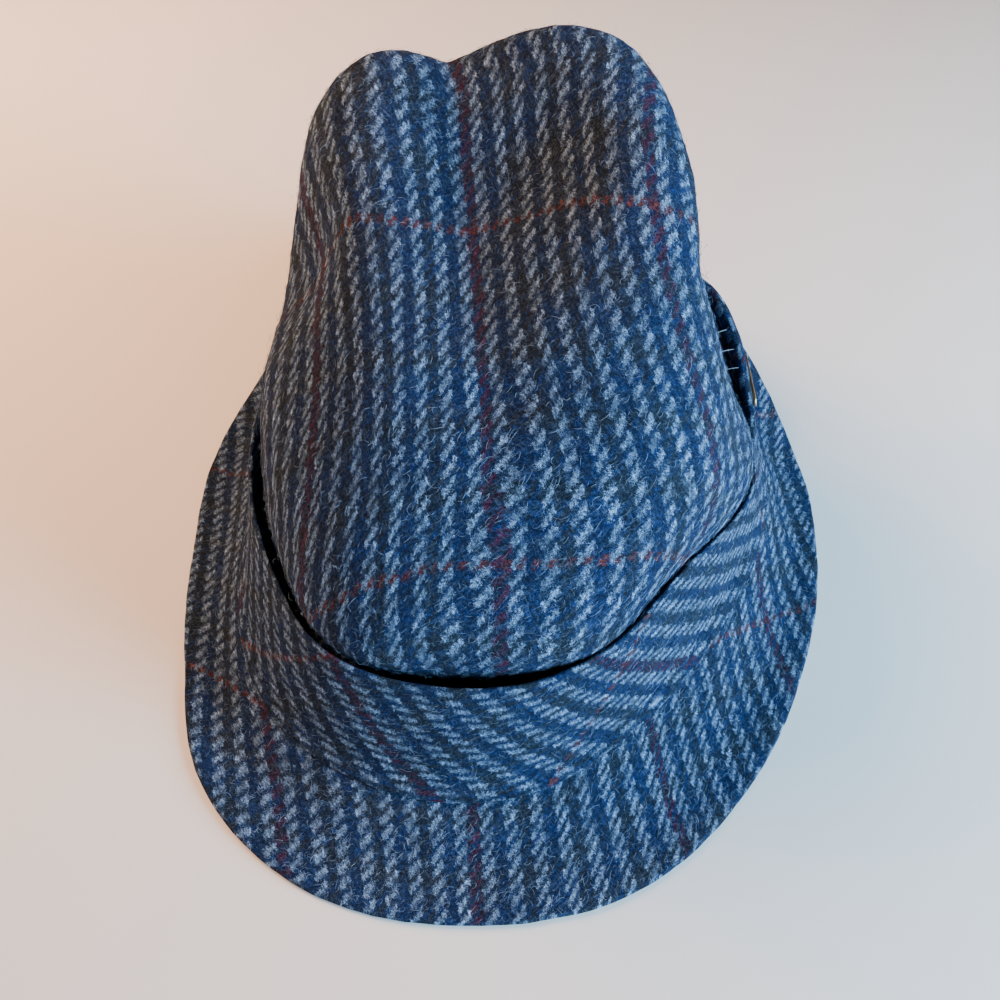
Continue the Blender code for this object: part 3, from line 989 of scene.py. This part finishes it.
def makeBand():
    angles = anglesAround(band["columns"])
    levels = np.linspace(0, 1, band["levels"])
    inner = np.array([bandLine(angles, level) for level in levels])
    wave = sum(share * np.sin(count * angles + start) for count, start, share in band["waveTurns"])
    inner[..., 2] += band["waves"] * wave * levels[:, None] ** 2
    out = placed(angles, 1, 0)
    outer = inner + out[None] * band["cloth"]
    # beside the pin the lip is rolled over, so it is thicker on its inner side
    roll = band["roll"] * np.exp(-(((np.degrees(angles) - band["rollAt"]) / band["rollOver"]) ** 2))
    for k, level in enumerate(levels):
        share = max((level - band["rollFrom"]) / (1 - band["rollFrom"]), 0) ** 0.5
        reach = np.hypot(inner[k, :, 0], inner[k, :, 1])
        clear = crownReach(angles, inner[k, :, 2]) + 2 * band["seat"]
        inner[k] = placed(angles, np.minimum(np.maximum(reach - roll * share, clear), reach), inner[k, :, 2])
    centre = (inner[-1] + outer[-1]) / 2
    radius = np.linalg.norm(outer[-1] - inner[-1], axis=1)[:, None] / 2
    lip = []
    for step in band["lipSteps"]:
        turn = step * math.pi
        lip.append(centre - out * radius * math.cos(turn) + radius * math.sin(turn) * [0, 0, 1])
    hemOver, hemUnder = [], []
    for reach, thickness in band["hem"]:
        onBrim = brimAbove(angles, reach)
        hemUnder.append(onBrim + [0, 0, band["hemSeat"]])
        hemOver.append(onBrim + [0, 0, band["hemSeat"] + band["cloth"] * thickness])
    face = np.array(hemOver[::-1] + list(outer[2:]))
    grid = np.array(hemUnder[::-1] + list(inner) + lip + list(face[::-1]))
    aroundLip = np.append(radius[:, 0], radius[0, 0]) * math.pi
    places, allPlaces = stripPlaces(face, angles, aroundLip, len(inner) + len(hemUnder))
    grid = lumpy(grid, outwardOf(grid), band["lumps"])
    piece = clothPiece("hatband_cloth", grid[::-1], allPlaces[::-1], endToEnd=True)
    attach(piece, "root")
    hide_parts("hatband")
    return face, places


fibre = {
    "radius": 0.00004,
    "length": (0.0011, 0.0036),  # the shortest and the longest
    "curl": 1.7,  # how far a fibre turns along its length, in radians
    "lift": (0.0001, 0.0007),
    "flyaway": 0.06,  # share that stands well off the cloth
    "flyawayLift": 0.0022,
    "flyawayLength": 2.0,
    "alongFleck": 0.6,  # share that follows the flecks of the weave
    "spreads": (0.45, 3.0),  # how far those and the others turn from the flecks, in radians
    "clear": 0.00008,  # height of the ends above the cloth
    "arch": (0.12, 0.8),  # start and length of its arch, as shares of half a turn
    "rings": 3,
    "sides": (0.5, 2.6, 4.7),  # angles of a tube's corners round its middle, in radians
    "paleOnPale": 0.85,
    "paleOnDark": 0.25,
    "pale": (0.27, 0.38, 0.52, 1),
    "dark": (0.012, 0.032, 0.080, 1),
    "toneSize": 260.0,
    "tone": (0.35, 1.3),
    "roughness": 0.8,
    # count of fibres on each piece, and the first row of its grid that they lie on
    "crown": (10500, 14),
    "brim": (8500, 3),
    "hatband": (5000, 2),
}


def fibreMaterial(name, colour):
    s = Shader(name)
    where = s.add("ShaderNodeTexCoord", {}, {}, "Object")
    sockets = {"Vector": where, "Scale": fibre["toneSize"], "Detail": 2.0}
    tone = s.add("ShaderNodeTexNoise", {}, sockets, "Fac").lifted(*fibre["tone"])
    return s.dressed({
        "Base Color": s.blend(1.0, colour, s.grey(tone), "MULTIPLY"),
        "Roughness": fibre["roughness"],
        "Specular IOR Level": tweed["gloss"],
    })


fibreMaterials = [fibreMaterial("pale_fibre", fibre["pale"]), fibreMaterial("dark_fibre", fibre["dark"])]


def tubes(name, paths, outward, radius, materials, share):
    # thin closed tubes, pointed at both ends, a share of them in the first material;
    # paths is count x steps x 3
    count, steps = paths.shape[:2]
    along = np.gradient(paths, axis=1)
    side = unit(np.cross(along, outward))
    up = unit(np.cross(side, along))
    rings = []
    for turn in fibre["sides"]:
        out = math.cos(turn) * side + math.sin(turn) * up
        rings.append(paths[:, 1:-1] + radius * out[:, 1:-1])
    sides = len(rings)
    last = (steps - 2) * sides + 1
    body = np.stack(rings, 2).reshape(count, last - 1, 3)
    points = np.concatenate([paths[:, :1], body, paths[:, -1:]], axis=1) - middle
    triangles = [(0, 1 + (k + 1) % sides, 1 + k) for k in range(sides)]
    triangles += [(last, last - sides + k, last - sides + (k + 1) % sides) for k in range(sides)]
    quads = []
    for ring in range(steps - 3):
        for k in range(sides):
            a, b = 1 + ring * sides + k, 1 + ring * sides + (k + 1) % sides
            quads.append((a, b, b + sides, a + sides))
    base = (np.arange(count) * (last + 1))[:, None, None]
    faces = []
    for shapes in (triangles, quads):
        faces += (np.array(shapes)[None] + base).reshape(-1, len(shapes[0])).tolist()
    piece = meshPiece(name, points.reshape(-1, 3).tolist(), faces, materials)
    second = rng.random(count) > share
    slots = np.concatenate([np.repeat(second, len(triangles)), np.repeat(second, len(quads))])
    piece.data.polygons.foreach_set("material_index", slots.astype(np.int32))
    piece.data.update()
    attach(piece, "root")
    return piece


def gridReader(grid):
    rows, columns = grid.shape[:2]

    def read(row, column):
        row = np.clip(row, 0, rows - 1.001)
        i, s = np.floor(row).astype(int), (row % 1)[..., None]
        column = column % columns
        j, t = np.floor(column).astype(int) % columns, (column % 1)[..., None]
        beyond = (j + 1) % columns
        low = grid[i, j] * (1 - t) + grid[i, beyond] * t
        high = grid[i + 1, j] * (1 - t) + grid[i + 1, beyond] * t
        return low * (1 - s) + high * s

    return read


def makeFibres(name, grid, places, outward, slot, count, rowFrom):
    # loose fibres of the wool that lie over the cloth, spread evenly over its area
    rise = np.roll(grid, -1, axis=1)[:-1] - grid[:-1]
    run = grid[1:] - grid[:-1]
    area = np.linalg.norm(np.cross(rise, run), axis=2)
    area[:rowFrom] = 0
    cell = rng.choice(area.size, count, p=(area / area.sum()).ravel())
    i, j = np.unravel_index(cell, area.shape)
    across, up = rise[i, j], run[i, j]
    acrossLength = np.linalg.norm(across, axis=1)
    upLength = np.linalg.norm(up, axis=1)
    placeAcross = places[i, (j + 1) % grid.shape[1]] - places[i, j]
    placeUp = places[i + 1, j] - places[i, j]
    # the way in which u rises as fast as v falls is the way of the flecks
    change = np.stack([placeAcross / acrossLength[:, None], placeUp / upLength[:, None]], -1)
    steady = change + np.eye(2) * 1e-6
    fleck = np.linalg.solve(steady, np.broadcast_to([[1.0], [-1.0]], (count, 2, 1)))[..., 0]
    fleckWay = np.arctan2(fleck[:, 1], fleck[:, 0])
    spread = np.where(rng.random(count) < fibre["alongFleck"], *fibre["spreads"])
    way = fleckWay + rng.normal(0, 1, count) * spread
    curl = rng.normal(0, 1, count) * fibre["curl"]
    length = rng.uniform(*fibre["length"], count)
    lift = rng.uniform(*fibre["lift"], count)
    flying = rng.random(count) < fibre["flyaway"]
    lift = np.where(flying, fibre["flyawayLift"] * rng.random(count) + lift, lift)
    length = np.where(flying, length * fibre["flyawayLength"], length)
    steps = np.linspace(0, 1, fibre["rings"] + 2)
    heading = way[:, None] + curl[:, None] * (steps - 0.5)[None]
    walk = length[:, None] / (len(steps) - 1)
    column = (j + rng.random(count))[:, None] + np.cumsum(np.cos(heading) * walk, 1) / acrossLength[:, None]
    row = (i + rng.random(count))[:, None] + np.cumsum(np.sin(heading) * walk, 1) / upLength[:, None]
    surface = gridReader(grid)(row, column)
    normal = unit(gridReader(outward)(row, column))
    archFrom, archOver = fibre["arch"]
    height = fibre["clear"] + lift[:, None] * np.sin(math.pi * (archFrom + archOver * steps))[None]
    onPale = (places[i, j, 0] // tweed["endsInGroup"]) % 2 == 1
    share = np.where(onPale, fibre["paleOnPale"], fibre["paleOnDark"])
    piece = tubes(name, surface + normal * height[..., None], normal, fibre["radius"], fibreMaterials, share)
    return piece


crownGrid, crownPlace, crownOut = makeCrown()
print("crown made")
brimGrid, brimPlace = makeBrim()
print("brim made")
bandGrid, bandPlace = makeBand()
print("hatband made")

pin = {
    "angle": 14.0,
    "level": 0.86,
    "length": 0.021,
    "width": 0.0046,
    "wire": 0.00055,  # radius
    "cornerSteps": 10,
    "gap": 0.0003,
    "standOff": 1.3,  # in radii of the wire
    "brass": (0.70, 0.47, 0.22, 1),
    # the copper colour is a painted highlight on the pin's back end
    "paintedHighlight": (0.62, 0.26, 0.12, 1),
    "worn": (0.30, 0.17, 0.09, 1),
    # y from which the copper-coloured painted highlight on the pin's back end shows, and how far it takes to
    # show fully
    "paintedHighlightFrom": 0.026,
    "paintedHighlightOver": 0.004,
    "tiltReach": 0.15,
    "bevelSteps": 4,
    "spotSize": 900.0,
    "wornShows": (0.45, 0.68),
    "wornShare": 0.7,
    "roughness": (0.16, 0.3),
    "scratchSize": 2600.0,
    "scratch": 0.3,
    "scratchDepth": 0.0001,
}


def brassMaterial():
    s = Shader("worn_brass")
    where = s.add("ShaderNodeTexCoord", {}, {}, "Object")

    def cloud(size, detail):
        return s.add("ShaderNodeTexNoise", {}, {"Vector": where, "Scale": size, "Detail": detail}, "Fac")

    spots = cloud(pin["spotSize"], 4.0)
    _, along, _ = s.parts(where)
    # painted highlight: copper colour mixed into the brass on the pin's back end, from a given y on
    paintedHighlight = along.between(pin["paintedHighlightFrom"], pin["paintedHighlightFrom"] + pin["paintedHighlightOver"])
    metal = s.blend(paintedHighlight, pin["brass"], pin["paintedHighlight"])
    height = cloud(pin["scratchSize"], 2.0)
    scratch = {"Height": height, "Strength": pin["scratch"], "Distance": pin["scratchDepth"]}
    return s.dressed({
        "Base Color": s.blend(spots.between(*pin["wornShows"]) * pin["wornShare"], metal, pin["worn"]),
        "Roughness": spots.lifted(*pin["roughness"]),
        "Normal": s.add("ShaderNodeBump", {}, scratch, "Normal"),
        "Metallic": 1.0,
    })


def makePin():
    # a wire loop along the band: two straight legs with rounded ends
    radius = pin["width"] / 2
    straight = pin["length"] / 2 - radius
    outline = []
    for side in (1, -1):
        for step in range(pin["cornerSteps"] + 1):
            turn = math.pi * (step / pin["cornerSteps"] - 0.5)
            outline.append((side * (straight + radius * math.cos(turn)), side * radius * math.sin(turn)))
    angle = np.radians([pin["angle"]])
    low, high = (bandLine(angle, pin["level"] + tilt)[0] for tilt in (-pin["tiltReach"], pin["tiltReach"]))
    reach = np.hypot(*bandLine(angle, pin["level"])[0][:2])
    up = unit(high - low)
    curve = bpy.data.curves.new("band_pin_wire", "CURVE")
    curve.dimensions = "3D"
    curve.bevel_depth = pin["wire"]
    curve.bevel_resolution = pin["bevelSteps"]
    spline = curve.splines.new("POLY")
    spline.points.add(len(outline) - 1)
    spline.use_cyclic_u = True
    for point, (along, across) in zip(spline.points, outline):
        here = angle + along / reach
        surface = bandLine(here, pin["level"])[0] + up * across
        side = np.array([-math.sin(here[0]), math.cos(here[0]), 0.0])
        out = np.cross(side, up)
        place = surface + out * (band["cloth"] + pin["gap"] + pin["standOff"] * pin["wire"]) - middle
        point.co = (*place, 1.0)
    curve.materials.append(brassMaterial())
    piece = linked("band_pin_wire", curve)
    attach(piece, "root")
    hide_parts("band_pin")


stitches = {
    # angle round the hat in degrees, height above the band's top
    "places": ((15.4, 0.0000), (19.6, 0.0004), (24.4, 0.0002)),
    "thread": 0.00019,
    "into": 0.0012,
    "rise": 0.002,
    # how far out and up on the lip it starts, and its arch, in thicknesses of the cloth
    "lipOut": 0.7,
    "lipUp": 0.3,
    "arch": 0.7,
    "steps": 9,
    "colour": (0.30, 0.33, 0.37, 1),
}


def makeStitches():
    # threads that tack the band's lip to the crown across the gap
    paths = []
    for degrees, over in stitches["places"]:
        angle = np.radians([degrees])
        lip = bandLine(angle, 1.0)[0]
        way = placed(angle, 1, 0)[0]
        crownSide = way * crownReach(angle, lip[2])[0] + [0, 0, lip[2]]
        start = lip + way * band["cloth"] * stitches["lipOut"] + [0, 0, band["cloth"] * stitches["lipUp"]]
        end = crownSide - way * stitches["into"] + [0, 0, stitches["rise"] + over]
        steps = np.linspace(0, 1, stitches["steps"])[:, None]
        path = start + (end - start) * steps
        path[:, 2] += (band["cloth"] * stitches["arch"] + over) * np.sin(math.pi * steps[:, 0])
        paths.append(path)
    paths = np.array(paths)
    above = np.broadcast_to([0.0, 0.0, 1.0], paths.shape)
    material = fibreMaterial("tacking_thread", stitches["colour"])
    piece = tubes("tack_stitches", paths, above, stitches["thread"], [material], 1.0)


makePin()
print("pin made")

makeFibres("crown_fibres", crownGrid, crownPlace, crownOut, "tweed", *fibre["crown"])
# the brim's first two rings lie under the crown
brimGrid, brimPlace = brimGrid[2:], brimPlace[2:]
makeFibres("brim_fibres", brimGrid, brimPlace, -outwardOf(brimGrid), "tweed", *fibre["brim"])
bandPlace = bandPlace[:, :-1]
makeFibres("hatband_fibres", bandGrid, bandPlace, outwardOf(bandGrid), "band_tweed", *fibre["hatband"])
makeStitches()
print("loose fibres and tack stitches laid")


def makeStudio():
    data = bpy.data.cameras.new("camera")
    data.sensor_width = studio["sensor"]
    data.lens = studio["lens"]
    data.clip_start = studio["nearest"]
    camera = linked("camera", data)
    camera.location = studio["cameraPlace"]
    camera.rotation_euler = [math.radians(a) for a in studio["cameraTurn"]]
    bpy.context.scene.camera = camera

    looks = {"Base Color": studio["floorColour"], "Roughness": studio["floorRoughness"]}
    material = Shader("floor").dressed(looks)
    half = studio["floorSize"] / 2
    corners = [(-half, -half, 0), (half, -half, 0), (half, half, 0), (-half, half, 0)]
    floor = meshPiece("floor", corners, [(0, 1, 2, 3)], [material])
    floor.location.z = -studio["floorDrop"]

    world = bpy.data.worlds.new("studio")
    world.use_nodes = True
    background = world.node_tree.nodes["Background"]
    background.inputs["Color"].default_value = studio["sky"]
    background.inputs["Strength"].default_value = studio["skyStrength"]
    bpy.context.scene.world = world
    for name, place, power, size, colour in studio["lights"]:
        data = bpy.data.lights.new(name, "AREA")
        data.energy = power
        data.size = size
        data.color = colour
        light = linked(name, data)
        light.location = place
        light.rotation_euler = (Vector(studio["aim"]) - Vector(place)).to_track_quat("-Z", "Y").to_euler()


makeStudio()
print("studio made")
